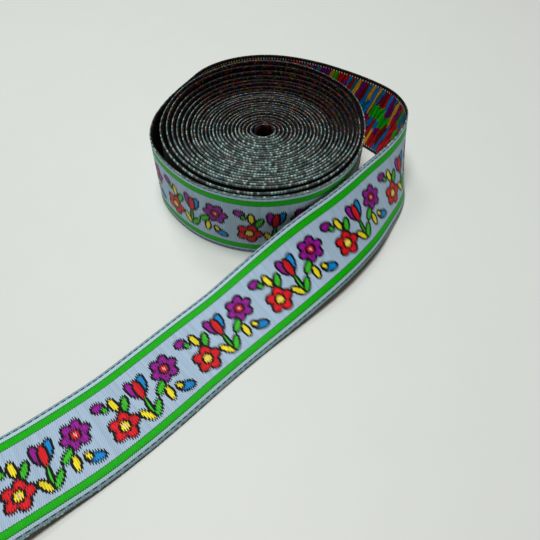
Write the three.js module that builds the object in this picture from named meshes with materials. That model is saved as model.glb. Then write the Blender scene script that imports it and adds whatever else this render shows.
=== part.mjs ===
// A roll of woven ribbon trim standing on its edge, with its loose outer turn and a free run that
// leaves the roll at the back right, turns round and comes to lie down towards the front left.
// Millimetres, +Z up. The origin is on the table under the middle of the roll.
import * as THREE from 'three';

// Driving dimensions
const ribbonWidth = 22;
const clothThickness = 1;
const rollHeight = ribbonWidth;

// The eye is the hollow that the first, innermost turn leaves. It lies nearer the front than the
// middle, because the turns are packed tighter there.
const eye = { x: 0.1, y: -5.3, halfLength: 4, halfWidth: 2.8 };

// Outside of the wound turns: its distance from the middle against the direction, in degrees
// anticlockwise from +X. The step near -16 degrees is where the outermost turn starts.
const rollOutline = [
  { angle: 0, radius: 28.6 },
  { angle: 20, radius: 29.2 },
  { angle: 45, radius: 29.2 },
  { angle: 65, radius: 29.6 },
  { angle: 95, radius: 29.9 },
  { angle: 125, radius: 29.0 },
  { angle: 152, radius: 28.6 },
  { angle: 182, radius: 29.3 },
  { angle: 210, radius: 28.9 },
  { angle: 240, radius: 29.6 },
  { angle: 267, radius: 29.9 },
  { angle: 295, radius: 29.2 },
  { angle: 320, radius: 28.5 },
  { angle: 344, radius: 28.0 },
];

// Crescent gaps between the outer turns at the back, where the roll is wound loosely, from the
// outside inward: the arc that each one follows, in degrees round its own middle on the roll's Y
// axis, and its width where it is widest
const backGaps = [
  { middleY: 0, radius: 27.8, from: 30, to: 140, widest: 1.8 },
  { middleY: -1.8, radius: 26.8, from: 20, to: 160, widest: 1.7 },
  { middleY: -3.2, radius: 25.5, from: 20, to: 160, widest: 1.5 },
  { middleY: -4.3, radius: 24.2, from: 20, to: 160, widest: 1.3 },
  { middleY: -5.3, radius: 23.0, from: 20, to: 160, widest: 1 },
];

// The loose outer turn: the distance of the ribbon's middle from the middle of the roll. It starts
// close to the roll at the right and goes clockwise round the front, the left and the back.
const looseTurn = [
  { angle: -16, radius: 29.1 },
  { angle: -35, radius: 29.4 },
  { angle: -50, radius: 30.0 },
  { angle: -68, radius: 30.9 },
  { angle: -90, radius: 31.3 },
  { angle: -120, radius: 31.4 },
  { angle: -143, radius: 31.7 },
  { angle: -162, radius: 32.1 },
  { angle: -178, radius: 31.3 },
  { angle: -194, radius: 29.9 },
  { angle: -208, radius: 29.5 },
  { angle: -220, radius: 29.8 },
  { angle: -232, radius: 31.0 },
  { angle: -250, radius: 32.0 },
  { angle: -268, radius: 32.3 },
  { angle: -283, radius: 32.4 },
];

// The free run from the roll to its cut end. x and y are the lower edge on the table, rise is how
// far that edge is lifted, and leanX and leanY say how far the upper edge leans away from it.
const freeRun = [
  { x: 17.0, y: 27.1, rise: 0, leanX: 0.6, leanY: 1.1 },
  { x: 23.0, y: 23.0, rise: 0, leanX: 1.2, leanY: 1.9 },
  { x: 28.4, y: 18.8, rise: 0, leanX: 2.0, leanY: 2.5 },
  { x: 33.0, y: 14.4, rise: 0, leanX: 2.7, leanY: 3.0 },
  { x: 36.9, y: 10.5, rise: 0, leanX: 2.3, leanY: 3.0 },
  { x: 39.9, y: 5.8, rise: 0, leanX: 1.3, leanY: 2.6 },
  { x: 42.2, y: 0.9, rise: 0, leanX: -0.6, leanY: 3.2 },
  { x: 43.3, y: -4.2, rise: 0, leanX: -3.0, leanY: 3.6 },
  { x: 43.0, y: -9.5, rise: 0, leanX: -5.8, leanY: 3.8 },
  { x: 41.2, y: -15.1, rise: 0.3, leanX: -8.1, leanY: 4.4 },
  { x: 38.1, y: -21.0, rise: 0.9, leanX: -9.8, leanY: 5.4 },
  { x: 33.0, y: -30.2, rise: 1.9, leanX: -11.6, leanY: 7.3 },
  { x: 27.6, y: -37.6, rise: 2.3, leanX: -12.7, leanY: 9.2 },
  { x: 22.2, y: -43.9, rise: 2.3, leanX: -13.6, leanY: 12.0 },
  { x: 16.9, y: -49.2, rise: 1.8, leanX: -14.1, leanY: 13.8 },
  { x: 11.6, y: -54.1, rise: 1.1, leanX: -14.5, leanY: 14.9 },
  { x: 6.5, y: -58.7, rise: 0.5, leanX: -14.8, leanY: 15.5 },
  { x: 1.4, y: -63.3, rise: 0.1, leanX: -15.2, leanY: 15.6 },
  { x: -7.9, y: -72.3, rise: 0, leanX: -15.5, leanY: 15.4 },
  { x: -16.2, y: -80.8, rise: 0, leanX: -15.3, leanY: 15.6 },
  { x: -24.1, y: -88.5, rise: 0, leanX: -14.8, leanY: 16.1 },
  { x: -31.9, y: -95.4, rise: 0.3, leanX: -13.7, leanY: 17.0 },
  { x: -39.7, y: -101.5, rise: 1.0, leanX: -12.8, leanY: 17.8 },
  { x: -46.6, y: -106.9, rise: 2.0, leanX: -12.4, leanY: 18.1 },
  { x: -51.5, y: -110.7, rise: 2.7, leanX: -12.2, leanY: 18.2 },
];

// How finely the outline, the eye and the ribbon are drawn
const outlineSteps = 96;
const eyeSteps = 20;
const gapSteps = 14;
const stepsPerRow = 4;

const rollFinish = new THREE.MeshStandardMaterial({ color: '#6b7473', roughness: 0.9, metalness: 0 });
const ribbonFinish = new THREE.MeshStandardMaterial({ color: '#a7b8c7', roughness: 0.75, metalness: 0 });

function onCircle({ angle, radius }) {
  const turn = THREE.MathUtils.degToRad(angle);
  return new THREE.Vector2(radius * Math.cos(turn), radius * Math.sin(turn));
}

// A crescent between two arcs that meet in a tip at both ends
function backGap({ middleY, radius, from, to, widest }) {
  const outer = [];
  const inner = [];
  for (let i = 0; i <= gapSteps; i += 1) {
    const share = i / gapSteps;
    const turn = THREE.MathUtils.degToRad(from + (to - from) * share);
    const half = (widest / 2) * Math.sin(Math.PI * share);
    const direction = new THREE.Vector2(Math.cos(turn), Math.sin(turn));
    const middle = new THREE.Vector2(0, middleY);
    outer.push(middle.clone().addScaledVector(direction, radius + half));
    inner.push(middle.clone().addScaledVector(direction, radius - half));
  }
  return new THREE.Path([...outer, ...inner.slice(1, -1).reverse()]);
}

// The wound turns as one solid, with the eye and the gaps at the back right through it
function makeRoll() {
  const corners = rollOutline.map(onCircle).map((p) => new THREE.Vector3(p.x, p.y, 0));
  const outline = new THREE.CatmullRomCurve3(corners, true, 'centripetal');
  const points = outline.getPoints(outlineSteps).slice(0, -1);
  const shape = new THREE.Shape(points.map((p) => new THREE.Vector2(p.x, p.y)));
  const hollow = new THREE.Path();
  hollow.absellipse(eye.x, eye.y, eye.halfLength, eye.halfWidth, 0, 2 * Math.PI, true);
  shape.holes.push(new THREE.Path(hollow.getPoints(eyeSteps).slice(0, -1)), ...backGaps.map(backGap));
  return new THREE.ExtrudeGeometry(shape, { depth: rollHeight, bevelEnabled: false });
}

// A row of the loose turn as a row of the free run: on the table and upright
function uprightRow(row) {
  const foot = onCircle(row);
  return { x: foot.x, y: foot.y, rise: 0, leanX: 0, leanY: 0 };
}

// The two edges of the ribbon's middle layer. A leaning ribbon rests on its lower corner, so its
// middle layer starts half a thickness higher the more it leans.
function ribbonEdges(rows) {
  const lower = [];
  const upper = [];
  for (const { x, y, rise, leanX, leanY } of rows) {
    const lean = Math.hypot(leanX, leanY);
    const foot = rise + (clothThickness / 2) * (lean / ribbonWidth);
    const height = Math.sqrt(ribbonWidth ** 2 - lean ** 2);
    lower.push(new THREE.Vector3(x, y, foot));
    upper.push(new THREE.Vector3(x + leanX, y + leanY, foot + height));
  }
  return {
    lower: new THREE.CatmullRomCurve3(lower, false, 'centripetal'),
    upper: new THREE.CatmullRomCurve3(upper, false, 'centripetal'),
  };
}

// The loose length of ribbon: a flat strip that is bent to run between its two edges
function makeLooseRibbon() {
  const rows = [...looseTurn.map(uprightRow), ...freeRun];
  const edges = ribbonEdges(rows);
  const steps = (rows.length - 1) * stepsPerRow;
  const strip = new THREE.BoxGeometry(1, clothThickness, 1, steps, 1, 1);
  const places = strip.attributes.position;
  for (let i = 0; i < places.count; i += 1) {
    const along = THREE.MathUtils.clamp(places.getX(i) + 0.5, 0, 1);
    const lower = edges.lower.getPoint(along);
    const upper = edges.upper.getPoint(along);
    const across = upper.clone().sub(lower).normalize();
    const forward = edges.lower.getTangent(along).add(edges.upper.getTangent(along));
    const outward = forward.cross(across).normalize();
    const point = lower.lerp(upper, places.getZ(i) + 0.5).addScaledVector(outward, -places.getY(i));
    places.setXYZ(i, point.x, point.y, Math.max(point.z, 0));
  }
  return strip;
}

function addPiece(group, name, geometry, material) {
  const piece = new THREE.Mesh(geometry, material);
  piece.name = name;
  group.add(piece);
}

const ribbonRoll = new THREE.Group();
addPiece(ribbonRoll, 'roll', makeRoll(), rollFinish);
addPiece(ribbonRoll, 'tail', makeLooseRibbon(), ribbonFinish);

export default ribbonRoll;
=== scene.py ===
"""A roll of woven ribbon trim that stands on its edge on a pale table.

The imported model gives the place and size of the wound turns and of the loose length. Here both
become one woven ribbon: about 23 separate turns, the loose outer turn, and the free run that turns
round and lies down in front. Lengths in the tables are millimetres, as in the model's source.
"""

import math

import bpy
import numpy as np
from mathutils import Matrix, Vector


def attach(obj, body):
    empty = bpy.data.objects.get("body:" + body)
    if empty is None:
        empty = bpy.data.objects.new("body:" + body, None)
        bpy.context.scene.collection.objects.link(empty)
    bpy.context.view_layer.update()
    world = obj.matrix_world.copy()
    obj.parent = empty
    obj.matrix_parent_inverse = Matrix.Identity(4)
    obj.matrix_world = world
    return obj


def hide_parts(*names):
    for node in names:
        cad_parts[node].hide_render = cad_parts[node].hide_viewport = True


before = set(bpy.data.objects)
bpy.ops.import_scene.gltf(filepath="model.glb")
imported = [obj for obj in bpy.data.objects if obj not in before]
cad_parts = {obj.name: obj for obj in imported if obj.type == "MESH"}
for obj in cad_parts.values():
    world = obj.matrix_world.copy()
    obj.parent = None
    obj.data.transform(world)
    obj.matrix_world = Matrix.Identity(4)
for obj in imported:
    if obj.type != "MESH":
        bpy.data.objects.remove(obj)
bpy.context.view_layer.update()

RIBBON_WIDTH = 22.0
RIBBON_THICKNESS = 0.66
HALF_THICKNESS = RIBBON_THICKNESS / 2

# How far the outer side of each turn lies from the middle of the eye, to four sides. Turns are
# counted from the outside, and the tightest part is in front.
EYE_MIDDLE = (0.1, -5.4)
TURN_SPACING = [
    {"turn": 0, "left": 32.0, "back": 38.3, "right": 30.0, "front": 26.2},
    {"turn": 1, "left": 29.0, "back": 35.2, "right": 28.7, "front": 24.6},
    {"turn": 2, "left": 27.6, "back": 32.0, "right": 27.3, "front": 22.9},
    {"turn": 3, "left": 26.1, "back": 29.1, "right": 26.1, "front": 21.9},
    {"turn": 4, "left": 24.7, "back": 26.7, "right": 25.0, "front": 21.0},
    {"turn": 5, "left": 23.3, "back": 24.3, "right": 23.8, "front": 20.0},
    {"turn": 6, "left": 22.0, "back": 22.5, "right": 22.7, "front": 19.1},
    {"turn": 7, "left": 20.6, "back": 20.7, "right": 21.6, "front": 18.2},
    {"turn": 8, "left": 19.8, "back": 19.2, "right": 20.5, "front": 17.3},
    {"turn": 9, "left": 18.7, "back": 17.9, "right": 19.4, "front": 16.4},
    {"turn": 12, "left": 15.6, "back": 14.8, "right": 16.3, "front": 13.7},
    {"turn": 16, "left": 11.6, "back": 10.8, "right": 12.3, "front": 10.1},
    {"turn": 20, "left": 7.4, "back": 6.8, "right": 8.1, "front": 6.4},
    {"turn": 24, "left": 3.2, "back": 2.9, "right": 3.9, "front": 2.8},
]

# The last wound turn and the loose turn, clockwise: the direction from the middle of the roll in
# degrees, and the distance of the ribbon's middle
LAST_TURN = [
    {"angle": 345, "radius": 27.5},
    {"angle": 319, "radius": 28.4},
    {"angle": 295, "radius": 29.3},
    {"angle": 267, "radius": 29.9},
    {"angle": 240, "radius": 29.8},
    {"angle": 212, "radius": 29.4},
    {"angle": 186, "radius": 29.2},
    {"angle": 153, "radius": 28.4},
    {"angle": 125, "radius": 28.7},
    {"angle": 98, "radius": 29.5},
    {"angle": 70, "radius": 29.3},
    {"angle": 46, "radius": 28.8},
    {"angle": 30, "radius": 29.0},
    {"angle": 14, "radius": 28.8},
    {"angle": 2, "radius": 28.5},
    {"angle": -8, "radius": 28.6},
]
LOOSE_TURN = [
    {"angle": -16, "radius": 28.7},
    {"angle": -25, "radius": 29.1},
    {"angle": -35, "radius": 29.7},
    {"angle": -50, "radius": 30.5},
    {"angle": -68, "radius": 31.2},
    {"angle": -93, "radius": 31.35},
    {"angle": -120, "radius": 31.4},
    {"angle": -143, "radius": 31.7},
    {"angle": -162, "radius": 32.4},
    {"angle": -178, "radius": 31.4},
    {"angle": -194, "radius": 29.9},
    {"angle": -208, "radius": 29.25},
    {"angle": -219, "radius": 29.5},
    {"angle": -231, "radius": 31.0},
    {"angle": -245, "radius": 31.9},
    {"angle": -262, "radius": 32.4},
    {"angle": -280, "radius": 32.6},
]

# The free run: its lower edge on the table, how far that edge is lifted, and how far the upper
# edge leans away from it
FREE_RUN = [
    {"x": 17.0, "y": 27.3, "rise": 0.0, "lean": (0.6, 1.1)},
    {"x": 23.0, "y": 23.1, "rise": 0.0, "lean": (1.2, 1.9)},
    {"x": 28.4, "y": 18.8, "rise": 0.0, "lean": (2.0, 2.5)},
    {"x": 33.0, "y": 14.4, "rise": 0.0, "lean": (2.7, 3.0)},
    {"x": 36.9, "y": 10.5, "rise": 0.0, "lean": (2.3, 3.0)},
    {"x": 39.9, "y": 5.8, "rise": 0.0, "lean": (1.3, 2.6)},
    {"x": 42.2, "y": 0.9, "rise": 0.0, "lean": (-0.6, 3.2)},
    {"x": 43.3, "y": -4.2, "rise": 0.0, "lean": (-3.0, 3.6)},
    {"x": 43.0, "y": -9.5, "rise": 0.0, "lean": (-5.8, 3.8)},
    {"x": 41.2, "y": -15.1, "rise": 0.3, "lean": (-8.1, 4.4)},
    {"x": 38.1, "y": -21.0, "rise": 0.9, "lean": (-9.8, 5.4)},
    {"x": 33.0, "y": -30.2, "rise": 1.9, "lean": (-11.6, 7.3)},
    {"x": 27.6, "y": -37.6, "rise": 2.3, "lean": (-12.7, 9.2)},
    {"x": 22.2, "y": -43.9, "rise": 2.3, "lean": (-13.6, 12.0)},
    {"x": 16.9, "y": -49.2, "rise": 1.8, "lean": (-14.1, 13.8)},
    {"x": 11.6, "y": -54.1, "rise": 1.1, "lean": (-14.5, 14.9)},
    {"x": 6.5, "y": -58.7, "rise": 0.5, "lean": (-14.8, 15.5)},
    {"x": 1.4, "y": -63.3, "rise": 0.1, "lean": (-15.2, 15.6)},
    {"x": -7.9, "y": -72.3, "rise": 0.0, "lean": (-15.5, 15.4)},
    {"x": -16.2, "y": -80.8, "rise": 0.0, "lean": (-15.3, 15.6)},
    {"x": -24.1, "y": -88.5, "rise": 0.0, "lean": (-14.8, 16.1)},
    {"x": -31.9, "y": -95.4, "rise": 0.3, "lean": (-13.7, 17.0)},
    {"x": -39.7, "y": -101.5, "rise": 1.0, "lean": (-12.8, 17.8)},
    {"x": -46.6, "y": -106.9, "rise": 2.0, "lean": (-12.4, 18.1)},
    {"x": -51.5, "y": -110.7, "rise": 2.7, "lean": (-12.2, 18.2)},
]


# The path of the ribbon

def edge_row(x, y, rise=0.0, lean=(0.0, 0.0)):
    """The lower and the upper edge of the ribbon's middle layer at one place, in millimetres."""
    slant = math.hypot(*lean)
    foot = rise + HALF_THICKNESS * slant / RIBBON_WIDTH
    height = math.sqrt(RIBBON_WIDTH**2 - slant**2)
    return [x, y, foot, x + lean[0], y + lean[1], foot + height]


def turned_row(angle, radius):
    """The two edges where the ribbon stands upright round the roll."""
    direction = math.radians(angle)
    return edge_row(radius * math.cos(direction), radius * math.sin(direction))


def wound_rows(first_turn, last_turn, per_turn):
    """The edges of the wound turns from the eye outward, each a little off its neighbours.

    Slow waves make the turns stray outward, tip and stand a little off the table.
    """
    counted = [row["turn"] for row in TURN_SPACING]
    rows = []
    for step in range(int(first_turn * per_turn), int(last_turn * per_turn), -1):
        turn = step / per_turn
        reach = {}
        for side, ahead in (("left", 0.0), ("back", 0.25), ("right", 0.5), ("front", -0.25)):
            distances = [row[side] for row in TURN_SPACING]
            reach[side] = np.interp(turn + ahead, counted, distances) - HALF_THICKNESS
        half_y = (reach["back"] + reach["front"]) / 2
        middle_y = (reach["back"] - reach["front"]) / 2
        half_x = (reach["right"] + reach["left"]) / 2 / math.sqrt(1 - (middle_y / half_y) ** 2)
        middle_x = (reach["right"] - reach["left"]) / 2
        direction = 2 * math.pi * (turn - 0.5)
        outward = (math.cos(direction), math.sin(direction))
        stray = 0.05 * math.sin(2.7 * direction / 2.3)
        stray += 0.04 * math.sin(5.3 * direction / 3.1 + turn)
        tip = 0.16 * math.sin(1.9 * direction / 2.9 + 2.1 * turn)
        rise = 0.2 + 0.12 * math.sin(0.83 * direction) + 0.08 * math.sin(2.31 * direction + 1.0)
        rows.append(
            edge_row(
                EYE_MIDDLE[0] + middle_x + (half_x + stray) * outward[0],
                EYE_MIDDLE[1] + middle_y + (half_y + stray) * outward[1],
                rise,
                (tip * outward[0], tip * outward[1]),
            )
        )
    return rows


def smooth_rows(rows, step):
    """A smooth curve through the rows, cut into even steps. Each row has both edges.

    Two rows lie apart by the distances of both edges together, about 1.41 times that of one.
    """
    both_edges = 1.41
    points_per_step = 3
    points = np.array(rows)
    padded = np.vstack([2 * points[0] - points[1], points, 2 * points[-1] - points[-2]])
    curve = []
    for i in range(1, len(padded) - 2):
        near = padded[i - 1 : i + 3]
        gaps = np.maximum(np.linalg.norm(np.diff(near, axis=0), axis=1) ** 0.5, 1e-6)
        knots = np.concatenate([[0.0], np.cumsum(gaps)])
        count = max(4, int(gaps[1] ** 2 / (both_edges * step) * points_per_step))
        for place in np.linspace(knots[1], knots[2], count, endpoint=False):
            level = [near[k] for k in range(4)]
            for width in (1, 2):
                level = [
                    blend_points(level[k], level[k + 1], knots, k, width, place)
                    for k in range(len(level) - 1)
                ]
            curve.append(blend_points(level[0], level[1], knots, 1, 1, place))
    curve.append(padded[-2])
    curve = np.array(curve)
    middle = (curve[:, :3] + curve[:, 3:]) / 2
    run = np.concatenate([[0.0], np.cumsum(np.linalg.norm(np.diff(middle, axis=0), axis=1))])
    places = np.linspace(0.0, run[-1], int(run[-1] / step) + 1)
    return np.stack([np.interp(places, run, curve[:, k]) for k in range(6)], axis=1)


def blend_points(first, second, knots, start, width, place):
    """One step of the smooth curve: a point between two others by its place between two knots."""
    share = (place - knots[start]) / (knots[start + width] - knots[start])
    return first * (1 - share) + second * share


def relax(edges, passes):
    """Softens small kinks and gives the ribbon its full width again."""
    for _ in range(passes):
        edges[1:-1] = (edges[:-2] + 2 * edges[1:-1] + edges[2:]) / 4
    lower = edges[:, :3]
    across = edges[:, 3:] - lower
    across /= np.linalg.norm(across, axis=1)[:, None]
    return lower, across


# The length round the ribbon's section at the ends of its face and its back. The face starts at
# 0, and the woven edges lie between the two sides.
FACE_END = 22.0
BACK_START = 22.7
BACK_END = 44.7

# The ribbon's section, from the lower edge up the face, over the upper edge and down the back:
# the place across the width, the place through the thickness, and the length round the section
SECTION = [
    (-10.85, HALF_THICKNESS, 0.0),
    (-9.8, HALF_THICKNESS, 1.1),
    (-6.0, HALF_THICKNESS, 4.9),
    (0.0, HALF_THICKNESS, 11.0),
    (6.0, HALF_THICKNESS, 17.1),
    (9.8, HALF_THICKNESS, 20.9),
    (10.85, HALF_THICKNESS, FACE_END),
    (10.98, 0.18, 22.2),
    (11.0, 0.0, 22.35),
    (10.98, -0.18, 22.5),
    (10.85, -HALF_THICKNESS, BACK_START),
    (9.8, -HALF_THICKNESS, 23.8),
    (6.0, -HALF_THICKNESS, 27.6),
    (0.0, -HALF_THICKNESS, 33.7),
    (-6.0, -HALF_THICKNESS, 39.8),
    (-9.8, -HALF_THICKNESS, 43.6),
    (-10.85, -HALF_THICKNESS, BACK_END),
    (-10.98, -0.18, 44.9),
    (-11.0, 0.0, 45.05),
    (-10.98, 0.18, 45.2),
    (-10.85, HALF_THICKNESS, 45.4),
]

# The finishes of a length of ribbon, in this order
FACE, BACK, RIM, WOUND_FACE, WOUND_BACK = range(5)

# How far along the ribbon the finishes of the wound turns with painted shade reach, and the length
# round the section whose look the cut ends have: the pale loops of the woven edge
SHADED_FACE_END = -82.0
SHADED_BACK_END = -45.0
CUT_LOOK = 22.1

# Edges of the ribbon's section with a turn above this many degrees stay sharp
SHARP_ABOVE = 55


def weave_ribbon(name, lower, across, along, finishes):
    """A closed length of ribbon. Its weave map gives the length along and round it, in mm."""
    middle = lower + across * RIBBON_WIDTH / 2
    forward = np.gradient(middle, axis=0)
    outward = np.cross(across, forward)
    outward /= np.linalg.norm(outward, axis=1)[:, None]
    ring = len(SECTION) - 1
    columns = len(middle)
    points = np.zeros((columns, ring, 3))
    for k, (width_place, depth_place, _) in enumerate(SECTION[:ring]):
        points[:, k] = middle + across * width_place + outward * depth_place
    points[:, :, 2] = np.maximum(points[:, :, 2], 0.0)
    faces = []
    weave = []
    sides = []
    for c in range(columns - 1):
        face = WOUND_FACE if along[c] < SHADED_FACE_END else FACE
        back = WOUND_BACK if along[c] < SHADED_BACK_END else BACK
        here, there = c * ring, (c + 1) * ring
        for k in range(ring):
            after = (k + 1) % ring
            faces.append((here + k, there + k, there + after, here + after))
            low, high = SECTION[k][2], SECTION[k + 1][2]
            weave += [(along[c], low), (along[c + 1], low), (along[c + 1], high), (along[c], high)]
            if low < FACE_END:
                sides.append(face)
            elif BACK_START <= low < BACK_END:
                sides.append(back)
            else:
                sides.append(RIM)
    for c, order in ((0, 1), (columns - 1, -1)):
        faces.append(tuple(c * ring + k for k in range(ring))[::order])
        weave += [(along[c], CUT_LOOK)] * ring
        sides.append(RIM)
    mesh = bpy.data.meshes.new(name)
    mesh.from_pydata((points.reshape(-1, 3) / 1000).tolist(), [], faces)
    mesh.update()
    weave_map = mesh.uv_layers.new(name="Weave")
    weave_map.data.foreach_set("uv", np.array(weave, dtype=np.float32).ravel())
    for material in finishes[: max(sides) + 1]:
        mesh.materials.append(material)
    mesh.polygons.foreach_set("material_index", sides)
    piece = bpy.data.objects.new(name, mesh)
    bpy.context.scene.collection.objects.link(piece)
    bpy.ops.object.select_all(action="DESELECT")
    piece.select_set(True)
    bpy.context.view_layer.objects.active = piece
    bpy.ops.object.mode_set(mode="EDIT")
    bpy.ops.mesh.select_all(action="SELECT")
    bpy.ops.mesh.normals_make_consistent(inside=False)
    bpy.ops.object.mode_set(mode="OBJECT")
    bpy.ops.object.shade_smooth_by_angle(angle=math.radians(SHARP_ABOVE))
    return piece


# Finishes

class Wire:
    """An output of a node. Sums and products of wires add the Math nodes for them."""

    def __init__(self, finish, socket):
        self.finish = finish
        self.socket = socket

    def math(self, operation, *others):
        return self.finish.math(operation, self, *others)

    def __add__(self, other):
        return self.math("ADD", other)

    __radd__ = __add__

    def __mul__(self, other):
        return self.math("MULTIPLY", other)

    __rmul__ = __mul__

    def __sub__(self, other):
        return self.math("SUBTRACT", other)

    def __rsub__(self, other):
        return self.finish.math("SUBTRACT", other, self)

    def __truediv__(self, other):
        return self.math("DIVIDE", other)

    def __mod__(self, other):
        return self.math("FLOORED_MODULO", other)

    def __lt__(self, other):
        return self.math("LESS_THAN", other)

    def __gt__(self, other):
        return self.math("GREATER_THAN", other)


class Finish:
    """A material whose pattern is written as expressions on wires."""

    def __init__(self, name):
        self.material = bpy.data.materials.new(name)
        self.material.use_nodes = True
        self.tree = self.material.node_tree
        self.shader = self.tree.nodes["Principled BSDF"]

    def node(self, kind, settings, inputs, output=0):
        """Any node: its settings first, then the value or wire of each socket."""
        made = self.tree.nodes.new(kind)
        for name, value in settings.items():
            setattr(made, name, value)
        for key, value in inputs.items():
            if isinstance(value, Wire):
                self.tree.links.new(value.socket, made.inputs[key])
            else:
                made.inputs[key].default_value = value
        return Wire(self, made.outputs[output])

    def math(self, operation, *values):
        return self.node("ShaderNodeMath", {"operation": operation}, dict(enumerate(values)))

    def mix(self, mask, under, over):
        """One colour over another where the mask is 1."""
        return self.node("ShaderNodeMix", {"data_type": "RGBA"}, {0: mask, 6: under, 7: over}, 2)

    def shade(self, colour, amount):
        """A colour made darker or lighter by a number."""
        scale = {"operation": "SCALE"}
        plain = colour if isinstance(colour, Wire) else colour[:3]
        return self.node("ShaderNodeVectorMath", scale, {0: plain, "Scale": amount})

    def between(self, value, low, high):
        return (value > low) * (value < high)

    def chance(self, place, seed):
        """A random number from 0 to 1 for each whole number. Another seed gives other numbers."""
        where = self.node("ShaderNodeCombineXYZ", {}, {0: place, 1: seed})
        return self.node("ShaderNodeTexWhiteNoise", {"noise_dimensions": "3D"}, {"Vector": where})

    def noise(self, where, scale, detail=2.0):
        inputs = {"Vector": where, "Scale": scale, "Detail": detail}
        return self.node("ShaderNodeTexNoise", {}, inputs)

    def fade(self, value, span, first, last):
        """A number that goes from first to last while the value goes through the span."""
        inputs = {0: value, 1: span[0], 2: span[1], 3: first, 4: last}
        return self.node("ShaderNodeMapRange", {}, inputs)

    def length(self, vector):
        return self.node("ShaderNodeVectorMath", {"operation": "LENGTH"}, {0: vector}, 1)

    def apart(self, vector):
        """The first two parts of a vector."""
        return [self.node("ShaderNodeSeparateXYZ", {}, {0: vector}, k) for k in (0, 1)]

    def set(self, **values):
        """Inputs of the shader by their names, with _ for each space."""
        for key, value in values.items():
            socket = self.shader.inputs[key.replace("_", " ")]
            if isinstance(value, Wire):
                self.tree.links.new(value.socket, socket)
            else:
                socket.default_value = value


def tone(red, green, blue):
    """A colour as seen, 0 to 255, as the light value that a material takes."""
    light = []
    for part in (red, green, blue):
        share = part / 255
        light.append(share / 12.92 if share <= 0.04045 else ((share + 0.055) / 1.055) ** 2.4)
    return (*light, 1.0)


GROUND = tone(176, 201, 226)
BAND = tone(190, 225, 236)
SELVEDGE = tone(150, 182, 198)
DASH = tone(34, 54, 74)
SATIN = tone(18, 192, 0)
SATIN_RIM = tone(2, 96, 24)
BLACK = tone(6, 5, 9)
# A painted highlight of the glossy threads in the middle of each flower's heart
HEART_HIGHLIGHT = tone(240, 206, 216)
FLOATS = [
    (0.0, tone(206, 14, 26)),
    (0.3, tone(122, 12, 120)),
    (0.46, tone(14, 112, 190)),
    (0.58, tone(24, 168, 16)),
    (0.67, tone(226, 168, 26)),
    (0.86, tone(118, 8, 20)),
    (0.94, tone(20, 124, 150)),
]
THREADS = {
    "purple": tone(158, 20, 158),
    "red": tone(222, 22, 36),
    "yellow": tone(255, 236, 40),
    "blue": tone(8, 142, 220),
    "green": tone(60, 200, 40),
}

# Lengths along the ribbon: one thread across the face, one line of its fine slanting ribs, one
# repeat of the pattern, one dash with its gap and the dash alone, one loop of the woven edge, one
# speck beside it, and one knot of the back's border
PICK = 0.5
TWILL = 0.36
REPEAT = 24.0
DASH_STEP = 1.7
DASH_LENGTH = 1.05
LOOP = 0.85
SPECK = 0.45
KNOT = 0.9

# The same for the back of the wound turns: a speck along the ribbon and across it
WOUND_SPECK = (0.55, 0.45)

# The border of the face by its distance from the nearer edge: the dashed line, then where the
# selvedge, the pale band, the satin stripe's dark rim, the stripe and its other dark rim end
DASHED_LINE = (0.58, 0.86)
SELVEDGE_END = 0.92
BAND_END = 1.66
OUTER_RIM_END = 1.88
SATIN_END = 3.38
INNER_RIM_END = 3.55

# On the back, the width of a strip of floats, and how far from the edge the knots and the bare
# rim beside them reach
STRIP = 1.2
KNOTS_END = 1.15
BARE_RIM = 0.65

# Painted shade: the back is painted dark in the roll's shade and comes out of it between these
# lengths along, and the face is painted darker along its lower edge and grows lighter between
# these distances from it
OUT_OF_SHADE = (95.0, 150.0)
LOWER_EDGE_SHADE = (0.8, 2.8)

# The dark outline round each motif
OUTLINE = 0.6

# The woven edges get painted shade towards the back where the turns are wound loosely: farther
# than this from the eye, in metres, and inside the outermost turns. Their pale loops are narrower
# where the free run turns.
LOOSELY_WOUND = 0.0182
INNER_TURNS = -190.0
NARROW_LOOPS = (112.0, 186.0)

# Ovals of the woven pattern: middle along and across, half length, half width, turn in degrees
LEAVES = [
    {"middle": (8.0, 9.9), "size": (1.6, 0.65), "turn": -38, "thread": "green"},
    {"middle": (7.1, 7.5), "size": (1.6, 0.6), "turn": -84, "thread": "yellow"},
    {"middle": (3.2, 6.2), "size": (1.8, 0.85), "turn": 24, "thread": "blue"},
    {"middle": (4.4, 7.4), "size": (0.7, 0.5), "turn": 60, "thread": "yellow"},
    {"middle": (16.5, 12.4), "size": (1.6, 0.65), "turn": 118, "thread": "green"},
    {"middle": (18.6, 13.9), "size": (1.6, 0.6), "turn": 84, "thread": "yellow"},
    {"middle": (21.8, 15.4), "size": (1.2, 0.9), "turn": 20, "thread": "purple"},
    {"middle": (20.8, 14.1), "size": (0.6, 0.45), "turn": 50, "thread": "green"},
]
TULIP = [
    {"middle": (12.5, 8.2), "size": (2.5, 0.2), "turn": 95, "thread": "green"},
    {"middle": (11.2, 6.6), "size": (1.8, 0.6), "turn": 128, "thread": "green"},
    {"middle": (14.0, 6.8), "size": (1.8, 0.6), "turn": 60, "thread": "yellow"},
    {"middle": (10.9, 13.6), "size": (2.3, 0.85), "turn": 112, "thread": "blue"},
    {"middle": (13.3, 13.8), "size": (2.3, 0.85), "turn": 78, "thread": "purple"},
    {"middle": (12.1, 13.1), "size": (2.3, 0.75), "turn": 95, "thread": "red"},
]
FLOWERS = [
    {"middle": (4.6, 13.2), "petals": 6, "reach": 2.0, "size": (1.25, 0.9), "heart": 0.9,
     "thread": "purple", "inside": "red"},
    {"middle": (19.2, 8.1), "petals": 5, "reach": 2.0, "size": (1.3, 1.1), "heart": 0.95,
     "thread": "red", "inside": "yellow"},
]


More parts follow.
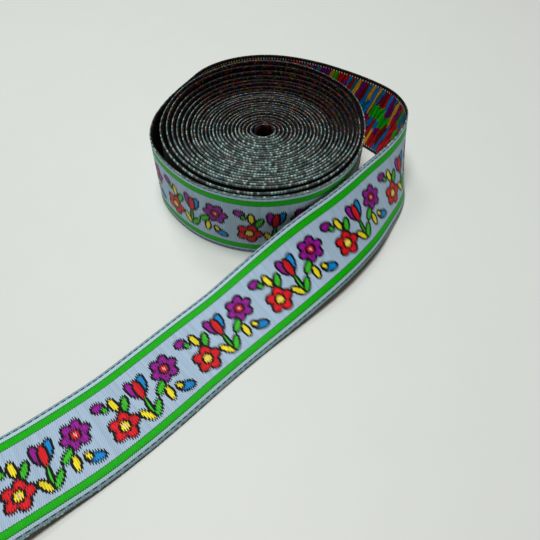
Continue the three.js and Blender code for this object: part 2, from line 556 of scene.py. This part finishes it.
def paint_oval(finish, picture, place, shape):
    """One oval of the pattern in its thread, with its dark outline."""
    colour, raised = picture
    size = shape["size"]
    thread = THREADS[shape["thread"]]
    for grow, laid in ((OUTLINE, BLACK), (0.0, thread)):
        local = finish.node(
            "ShaderNodeMapping",
            {"vector_type": "TEXTURE"},
            {
                "Vector": place,
                "Location": (*shape["middle"], 0.0),
                "Rotation": (0.0, 0.0, math.radians(shape["turn"])),
                "Scale": (size[0] + grow, size[1] + grow, 1.0),
            },
        )
        inside = finish.length(local) < 1.0
        colour = finish.mix(inside, colour, laid)
        raised = inside.math("MAXIMUM", raised)
    return colour, raised


def paint_flower(finish, picture, place, shape):
    """A ring of petals round a heart, all from one petal by its angle."""
    ring_turn = 10.0
    lighter_inset = -0.6
    heart_middle = 0.35
    colour, raised = picture
    local = finish.node(
        "ShaderNodeVectorMath", {"operation": "SUBTRACT"}, {0: place, 1: (*shape["middle"], 0.0)}
    )
    local_x, local_y = finish.apart(local)
    distance = finish.length(local)
    angle = local_y.math("ARCTAN2", local_x) + ring_turn
    step = 2 * math.pi / shape["petals"]
    within = (angle % step) - step / 2
    outward = distance * within.math("COSINE") - shape["reach"]
    sideways = distance * within.math("SINE")
    thread = THREADS[shape["thread"]]
    lighter = finish.shade(thread, 1.4)
    for grow, laid in ((OUTLINE, BLACK), (0.0, thread), (lighter_inset, lighter)):
        long = (outward / (shape["size"][0] + grow)).math("POWER", 2.0)
        wide = (sideways / (shape["size"][1] + grow)).math("POWER", 2.0)
        inside = (long + wide) < 1.0
        colour = finish.mix(inside, colour, laid)
        raised = inside.math("MAXIMUM", raised)
    vein = (sideways.math("ABSOLUTE") < 0.15) * (outward < 0.2)
    colour = finish.mix(vein, colour, BLACK)
    colour = finish.mix(distance < shape["heart"] + OUTLINE, colour, BLACK)
    colour = finish.mix(distance < shape["heart"], colour, THREADS[shape["inside"]])
    # painted highlight of glossy thread in the middle of the heart
    colour = finish.mix(distance < heart_middle, colour, HEART_HIGHLIGHT)
    return colour, raised


class Cloth(Finish):
    """A finish of the ribbon. Its wires follow the weave map: the length along and round it."""

    def __init__(self, name):
        super().__init__(name)
        self.weave = self.node("ShaderNodeUVMap", {"uv_map": "Weave"}, {})
        self.along, self.around = self.apart(self.weave)
        self.rib = self.wave(self.along, PICK)
        self.uneven = self.chance((self.along / PICK).math("FLOOR"), 3.0)
        self.grain = self.noise(self.weave, 1.3)

    def wave(self, value, period):
        return (value * (2 * math.pi / period)).math("COSINE")

    def random_thread(self, value):
        """The colour of a floating thread, in the shares in which they show on the back."""
        made = self.tree.nodes.new("ShaderNodeValToRGB")
        made.color_ramp.interpolation = "CONSTANT"
        ramp = made.color_ramp.elements
        while len(ramp) < len(FLOATS):
            ramp.new(0.5)
        for element, (position, colour) in zip(ramp, FLOATS):
            element.position = position
            element.color = colour
        self.tree.links.new(value.socket, made.inputs[0])
        return Wire(self, made.outputs[0])

    def finish(self, colour, height):
        """The material with this colour and this relief of its threads."""
        bump = {"Height": height, "Strength": 0.45, "Distance": 0.00012}
        self.set(Base_Color=colour, Roughness=0.5, Normal=self.node("ShaderNodeBump", {}, bump))
        self.set(Sheen_Weight=0.02, Sheen_Roughness=0.4, Specular_IOR_Level=0.14)
        return self.material


def face_finish():
    """Ribbed ground with flowers, leaves and tulips, and the bands along both edges."""
    cloth = Cloth("woven_face")
    tooth = cloth.rib * (0.2 + 0.3 * cloth.uneven)
    place = cloth.node(
        "ShaderNodeCombineXYZ", {}, {0: cloth.along % REPEAT, 1: cloth.around + tooth, 2: 0.0}
    )
    twill = cloth.wave(cloth.along + 0.3 * cloth.around, TWILL)
    light = 1.0 + 0.05 * cloth.rib + 0.16 * twill + 0.16 * (cloth.uneven - 0.5)
    ground = cloth.shade(GROUND, light)
    picture = (ground, 0.0)
    for shape in FLOWERS:
        picture = paint_flower(cloth, picture, place, shape)
    for shape in LEAVES + TULIP:
        picture = paint_oval(cloth, picture, place, shape)
    face, raised = picture
    floating = cloth.shade(face, 0.96 + 0.22 * cloth.rib + 0.34 * (cloth.uneven - 0.5))
    face = cloth.mix(raised, face, floating)

    edge = (cloth.around + 0.05).math("MINIMUM", FACE_END + 0.25 - cloth.around)
    ragged = edge + 0.25 * tooth
    satin = cloth.shade(SATIN, 0.92 + 0.1 * cloth.rib + 0.5 * (cloth.grain - 0.5))
    face = cloth.mix(ragged < INNER_RIM_END, face, SATIN_RIM)
    face = cloth.mix(ragged < SATIN_END, face, satin)
    face = cloth.mix(ragged < OUTER_RIM_END, face, SATIN_RIM)
    face = cloth.mix(ragged < BAND_END, face, cloth.shade(BAND, 0.95 + 0.12 * cloth.rib))
    selvedge = cloth.shade(SELVEDGE, 0.9 + 0.2 * cloth.rib + 0.6 * (cloth.grain - 0.5))
    face = cloth.mix(edge < SELVEDGE_END, face, selvedge)
    dashes = (cloth.along % DASH_STEP) < DASH_LENGTH
    line = cloth.mix(dashes, cloth.shade(SELVEDGE, 0.72), DASH)
    face = cloth.mix(cloth.between(edge, *DASHED_LINE), face, line)
    # painted shade: the face is darker towards its lower edge
    face = cloth.shade(face, cloth.fade(cloth.around, LOWER_EDGE_SHADE, 0.72, 1.0))
    return cloth.finish(face, 0.5 * cloth.rib + 0.9 * raised)


def back_finish():
    """Threads that float across the width, in strips that change colour on their way."""
    cloth = Cloth("woven_back")
    place = cloth.around - BACK_START
    bend = cloth.node("ShaderNodeCombineXYZ", {}, {0: cloth.along, 1: place / 5.0})
    row = (cloth.along + 0.3 * place + 2.4 * cloth.noise(bend, 0.45)) / STRIP
    strip = row.math("FLOOR")
    pair = (strip / 2.0).math("FLOOR")
    thread = (row * 4.0).math("FLOOR")
    feather = 1.8 * cloth.chance(thread, 10.0)
    first = 2.0 + 13.0 * cloth.chance(strip, 5.0) + feather
    second = first + 3.0 + 6.0 * cloth.chance(strip, 6.0)
    part = (place > first) + (place > second)
    laid = cloth.random_thread(cloth.chance(strip + 31.0 * part, 7.0))
    patch_start = 5.0 + 5.0 * cloth.chance(pair, 11.0) + feather
    patch = cloth.between(place, patch_start, patch_start + 4.5) * (cloth.chance(pair, 12.0) < 0.5)
    laid = cloth.mix(patch, laid, tone(20, 190, 14))
    round_strip = (row.math("FRACT") * math.pi).math("SINE")
    round_thread = ((row * 4.0).math("FRACT") * math.pi).math("SINE")
    # brighter along the middle of each strip and thread: painted highlight and shade of their
    # roundness; the same shape gives the relief
    light = 0.1 + 0.5 * round_strip + 0.5 * round_thread + 0.7 * (cloth.chance(thread, 13.0) - 0.5)
    # painted shade: the floats and knots are darker where the back runs in the roll's shade
    painted_loop_shade = cloth.fade(cloth.along, OUT_OF_SHADE, 0.12, 1.0)
    floats = cloth.shade(laid, (light + 0.5 * (cloth.grain - 0.5)) * painted_loop_shade)
    edge = place.math("MINIMUM", RIBBON_WIDTH - place)
    pale = cloth.chance((cloth.along / KNOT).math("FLOOR"), 8.0)
    knot = cloth.shade(cloth.mix(pale, laid, tone(240, 222, 180)), painted_loop_shade)
    knots = cloth.mix(cloth.wave(cloth.along, KNOT) > 0.1, BLACK, knot)
    floats = cloth.mix(edge < KNOTS_END, floats, knots)
    back = cloth.mix(edge < BARE_RIM, floats, BLACK)
    return cloth.finish(back, 1.2 * round_strip + 0.6 * round_thread)


def rim_colour(cloth):
    """The woven edge from above: pale loops towards the face, and black towards the back."""
    place = cloth.node("ShaderNodeTexCoord", {}, {}, 3)
    place_x, place_y = cloth.apart(place)
    towards_back = place_y + 0.35 * place_x
    # painted shade on the pale loops towards the back of the loosely wound turns
    shade_towards_back = cloth.node(
        "ShaderNodeMapRange",
        {"interpolation_type": "SMOOTHSTEP"},
        {0: towards_back, 1: -0.003, 2: 0.007},
    )
    eye = (EYE_MIDDLE[0] / 1000, EYE_MIDDLE[1] / 1000, RIBBON_WIDTH / 1000)
    from_eye = cloth.node("ShaderNodeVectorMath", {"operation": "DISTANCE"}, {0: place, 1: eye}, 1)
    loosely = (from_eye > LOOSELY_WOUND) * (cloth.along < INNER_TURNS)
    painted_back_shade = 1.0 - 0.9 * shade_towards_back * loosely
    loop = 0.62 + 0.38 * cloth.wave(cloth.along, LOOP)
    loop_number = (cloth.along / LOOP).math("ROUND")
    bead = cloth.chance(loop_number, 4.0)
    level = 0.16 + 1.2 * bead * bead * loop + 0.5 * (cloth.grain - 0.5)
    warm = cloth.chance(loop_number, 15.0)
    thread = cloth.mix(0.6 * warm * warm, tone(168, 210, 206), tone(212, 200, 196))
    pale = cloth.shade(thread, level * painted_back_shade)
    number = (cloth.along / SPECK).math("FLOOR")
    specks = cloth.shade(cloth.random_thread(cloth.chance(number, 9.0)), 0.1)
    dark = cloth.mix(cloth.chance(number, 14.0) < 0.45, BLACK, specks)
    through = cloth.around.math("MINIMUM", BACK_START + BACK_END - cloth.around)
    narrow = cloth.between(cloth.along, *NARROW_LOOPS)
    return cloth.mix(through < FACE_END + 0.3 - 0.26 * narrow, dark, pale)


def rim_finish():
    """The woven edges and the cut ends."""
    cloth = Cloth("woven_rim")
    return cloth.finish(rim_colour(cloth), 0.5 * cloth.rib)


def wound_face_finish():
    """The face of the wound turns: painted shade, nearly black, but for its upper and lower edge.
    """
    cloth = Cloth("wound_face")
    edge = cloth.around.math("MINIMUM", FACE_END - cloth.around)
    # painted shade: the face between the wound turns is nearly black
    shaded = cloth.shade(GROUND, 0.02 + 0.02 * cloth.grain)
    return cloth.finish(cloth.mix(edge < 0.5, shaded, rim_colour(cloth)), 0.5 * cloth.rib)


def wound_back_finish():
    """The back of the wound turns as painted shade: black, with dim specks of the floating
    threads.
    """
    cloth = Cloth("wound_back")
    column = (cloth.along / WOUND_SPECK[0]).math("FLOOR")
    line = (cloth.around / WOUND_SPECK[1]).math("FLOOR")
    # painted shade: the specks of the floating threads are dimmed
    speck = cloth.shade(cloth.random_thread(cloth.chance(column, line)), 0.16)
    shows = cloth.chance(line, column + 0.5) < 0.4
    return cloth.finish(cloth.mix(shows, BLACK, speck), 0.5 * cloth.rib)


def table_finish():
    """A pale, faintly mottled table."""
    table = Finish("pale_table")
    place = table.node("ShaderNodeTexCoord", {}, {}, 3)
    mottle = table.noise(place, 90.0, 4.0)
    cloud = table.noise(place, 9.0, 2.0)
    table.set(
        Base_Color=table.shade(tone(230, 234, 231), 0.97 + 0.03 * mottle + 0.03 * cloud),
        Roughness=0.55,
    )
    return table.material


# Building the ribbon

wound = wound_rows(first_turn=24.0, last_turn=1.5, per_turn=16)
wound += [turned_row(**row) for row in LAST_TURN]
loose = [turned_row(**row) for row in LOOSE_TURN]
loose += [edge_row(**row) for row in FREE_RUN]

# The length along the ribbon counts from the seam, where the loose turn starts. The first point
# stays where it was while the others soften, so the inner end starts at the second.
whole = smooth_rows(wound + loose, step=1.0)
start = np.array(loose[0])
seam = int(np.argmin(np.linalg.norm(whole - start, axis=1))) - 1
lower, across = relax(whole, passes=6)
lower, across = lower[1:], across[1:]
middle = lower + across * RIBBON_WIDTH / 2
run = np.concatenate([[0.0], np.cumsum(np.linalg.norm(np.diff(middle, axis=0), axis=1))])
run -= run[seam]

finishes = [face_finish(), back_finish(), rim_finish(), wound_face_finish(), wound_back_finish()]
for name, part in (("wound_ribbon", slice(0, seam + 1)), ("loose_ribbon", slice(seam, None))):
    piece = weave_ribbon(name, lower[part], across[part], run[part], finishes)
    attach(piece, "root")

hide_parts("roll")
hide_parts("tail")

# Table, light and camera

bpy.ops.mesh.primitive_plane_add(size=6.0, location=(0, 0, 0))
table = bpy.context.object
table.name = "table"
table.data.materials.append(table_finish())


def soft_light(name, place, size, power, colour):
    """A square light that is aimed at the middle of the roll's foot."""
    bpy.ops.object.light_add(type="AREA", location=place)
    light = bpy.context.object
    light.name = name
    light.data.size = size
    light.data.energy = power
    light.data.color = colour
    light.rotation_euler = (-Vector(place)).to_track_quat("-Z", "Y").to_euler()


soft_light("ceiling", (-0.08, -0.01, 0.75), size=0.26, power=3.85, colour=(0.99, 1.0, 1.0))
soft_light("window", (-0.22, 0.42, 0.7), size=0.2, power=1.1, colour=(0.97, 1.0, 1.0))

world = bpy.data.worlds.new("room")
world.use_nodes = True
glow = world.node_tree.nodes["Background"]
glow.inputs["Color"].default_value = (1.0, 0.92, 0.68, 1.0)
glow.inputs["Strength"].default_value = 0.11
bpy.context.scene.world = world

# The camera looks down by this angle from the level, and is rolled by the other one
CAMERA_PLACE = (0.00215, -0.1277, 0.1187)
CAMERA_DIP = 52.8
CAMERA_ROLL = 0.55

view = bpy.data.cameras.new("view")
view.lens = 36.07
view.sensor_width = 36.0
view.clip_start = 0.005
view.clip_end = 20.0
camera = bpy.data.objects.new("view", view)
bpy.context.scene.collection.objects.link(camera)
camera.matrix_world = (
    Matrix.Translation(CAMERA_PLACE)
    @ Matrix.Rotation(math.radians(90 - CAMERA_DIP), 4, "X")
    @ Matrix.Rotation(math.radians(CAMERA_ROLL), 4, "Z")
)
bpy.context.scene.camera = camera
bpy.context.scene.view_settings.view_transform = "Standard"
